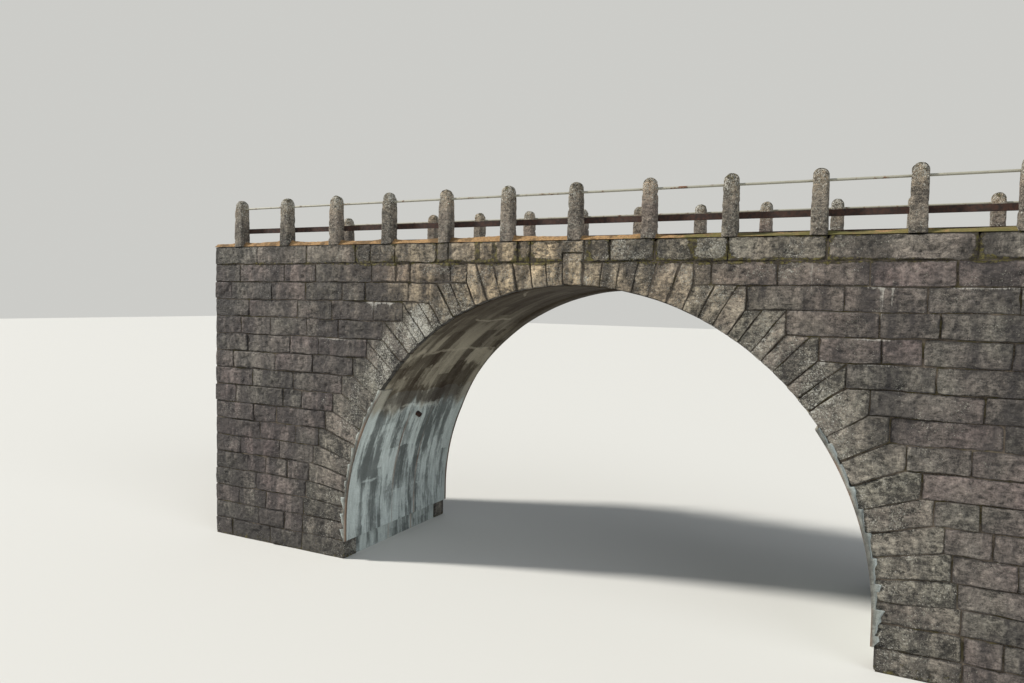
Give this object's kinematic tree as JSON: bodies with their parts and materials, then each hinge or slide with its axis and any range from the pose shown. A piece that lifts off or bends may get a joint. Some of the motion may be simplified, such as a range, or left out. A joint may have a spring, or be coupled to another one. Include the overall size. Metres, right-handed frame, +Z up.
{
  "type": "stone arch bridge",
  "caption": "Single-span stone arch road bridge: stepped arch stones, concrete vault, coursed walls, and stone posts with a pipe rail and a channel rail.",
  "frame": {"origin": "under the middle of the arch, halfway between the faces, on the level that it stands on", "axes": "+X along the bridge, +Y from the front face to the back face, +Z up"},
  "size_m": [17.5, 4, 7.565],
  "materials": {
    "wall_stone": "rock-faced granite, reddish brown and grey",
    "arch_stone": "rock-faced granite with pale lichen",
    "coping_stone": "rock-faced granite with moss in the joints",
    "post_stone": "rough granite with yellow-grey lichen",
    "vault_concrete": "board-marked concrete, stained",
    "lining_concrete": "concrete with lime streaks",
    "road_gravel": "gravel, soil and fallen needles",
    "rubble_fill": "rubble and gravel",
    "rail_pipe": "worn pale paint over rust",
    "rail_channel": "rusted rolled steel"
  },
  "bodies": {
    "root": {"back_abutment_left": "wall_stone", "back_abutment_right": "wall_stone", "back_channel_rail": "rail_channel", "back_coping": "coping_stone", "back_keystone": "arch_stone", "back_posts": "post_stone", "back_ring_left_crown": "arch_stone", "back_ring_left_foot": "arch_stone", "back_ring_left_haunch": "arch_stone", "back_ring_left_shoulder": "arch_stone", "back_ring_right_crown": "arch_stone", "back_ring_right_foot": "arch_stone", "back_ring_right_haunch": "arch_stone", "back_ring_right_shoulder": "arch_stone", "back_spandrel_left": "wall_stone", "back_spandrel_right": "wall_stone", "back_top_rail": "rail_pipe", "end_wall_left": "wall_stone", "end_wall_right": "wall_stone", "fill": "rubble_fill", "front_abutment_left": "wall_stone", "front_abutment_right": "wall_stone", "front_channel_rail": "rail_channel", "front_coping": "coping_stone", "front_keystone": "arch_stone", "front_posts": "post_stone", "front_ring_left_crown": "arch_stone", "front_ring_left_foot": "arch_stone", "front_ring_left_haunch": "arch_stone", "front_ring_left_shoulder": "arch_stone", "front_ring_right_crown": "arch_stone", "front_ring_right_foot": "arch_stone", "front_ring_right_haunch": "arch_stone", "front_ring_right_shoulder": "arch_stone", "front_spandrel_left": "wall_stone", "front_spandrel_right": "wall_stone", "front_top_rail": "rail_pipe", "lining_left": "lining_concrete", "lining_right": "lining_concrete", "road_surface": "road_gravel", "vault_crown": "vault_concrete", "vault_foot_left": "vault_concrete", "vault_foot_right": "vault_concrete", "vault_haunch_left": "vault_concrete", "vault_haunch_right": "vault_concrete"}
  },
  "joints": []
}
